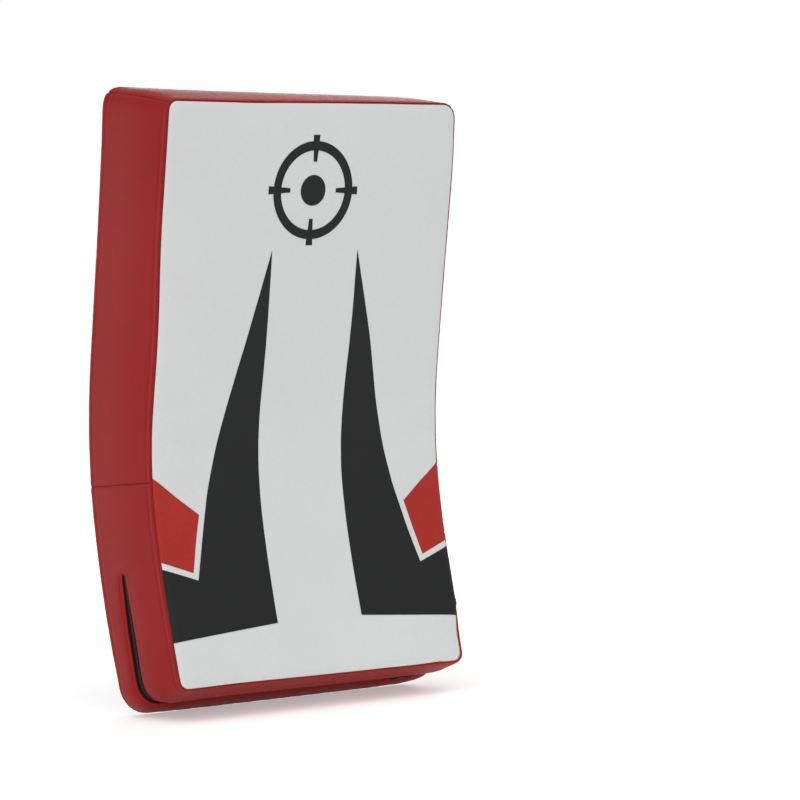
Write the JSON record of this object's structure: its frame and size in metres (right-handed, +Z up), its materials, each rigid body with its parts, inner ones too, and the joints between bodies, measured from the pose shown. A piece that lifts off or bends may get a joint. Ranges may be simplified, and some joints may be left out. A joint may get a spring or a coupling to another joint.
{
  "type": "curved kick shield",
  "caption": "Curved padded kick shield with a concave striking face, webbing arm loops and a carry handle on the back, and a zipped edge band.",
  "frame": {"origin": "centre of the base of the bounding box, with the shield standing upright", "axes": "+Z up along the shield, +X across its width, -Y out of the concave striking face, +Y out of the back with the handles; left means -X, as seen facing the striking face"},
  "size_m": [0.3522, 0.1764, 0.6039],
  "materials": {
    "foam_dense": "matte",
    "foam_soft": "matte",
    "cover_white": "satin",
    "cover_red": "satin",
    "film_black": "satin",
    "film_red": "satin",
    "webbing": "matte",
    "closure_fabric": "matte",
    "closure_plastic": "satin",
    "closure_metal": "satin"
  },
  "bodies": {
    "pad": {"foam_front_layer": "foam_dense", "foam_core_layer": "foam_soft", "foam_back_layer": "foam_dense", "front_panel": "cover_white", "back_panel": "cover_white", "flame_left": "film_black", "flame_right": "film_black", "flash_left": "film_red", "flash_right": "film_red", "mark_ring": "film_black", "mark_dot": "film_black", "back_bar_wide": "film_black", "back_bar_thin": "film_black", "band_top": "cover_red", "band_left_upper": "cover_red", "band_right_upper": "cover_red", "band_right_middle": "cover_red", "band_right_lower": "cover_red", "band_lower": "cover_red", "closure_tape_front": "closure_fabric", "closure_tape_back": "closure_fabric", "closure_coil": "closure_plastic", "closure_start_tack": "cover_red", "closure_end_tape": "closure_fabric", "strap_top": "webbing", "strap_middle": "webbing", "strap_bottom": "webbing"},
    "carry_handle": {"carry_handle_webbing": "webbing", "carry_handle_filler": "foam_soft", "carry_handle_sleeve": "webbing"},
    "arm_loop_left": {"arm_loop_left": "webbing"},
    "arm_loop_right": {"arm_loop_right": "webbing"},
    "closure_slider": {"closure_slider": "closure_metal"},
    "closure_pull": {"closure_pull": "closure_metal"}
  },
  "joints": [
    {"name": "carry_handle_swing", "type": "hinge", "parent": "pad", "child": "carry_handle", "pos_m": [0, 0.02956, 0.52101], "axis": [1, 0, 0], "range_deg": [-28, 28]},
    {"name": "arm_loop_left_swing", "type": "hinge", "parent": "pad", "child": "arm_loop_left", "pos_m": [-0.094, 0.04857, 0.14315], "axis": [0, -0.0022, 1], "range_deg": [-35, 35]},
    {"name": "arm_loop_right_swing", "type": "hinge", "parent": "pad", "child": "arm_loop_right", "pos_m": [0.094, 0.04857, 0.14315], "axis": [0, -0.0022, 1], "range_deg": [-35, 35]},
    {"name": "closure_slider_travel", "type": "slide", "parent": "pad", "child": "closure_slider", "axis": [-1, 0, 0], "range_m": [0, 0.236]},
    {"name": "closure_pull_swing", "type": "hinge", "parent": "closure_slider", "child": "closure_pull", "pos_m": [0.118, -0.03837, 0.01339], "axis": [0, 0.9502, -0.3117], "range_deg": [0, 180]}
  ]
}
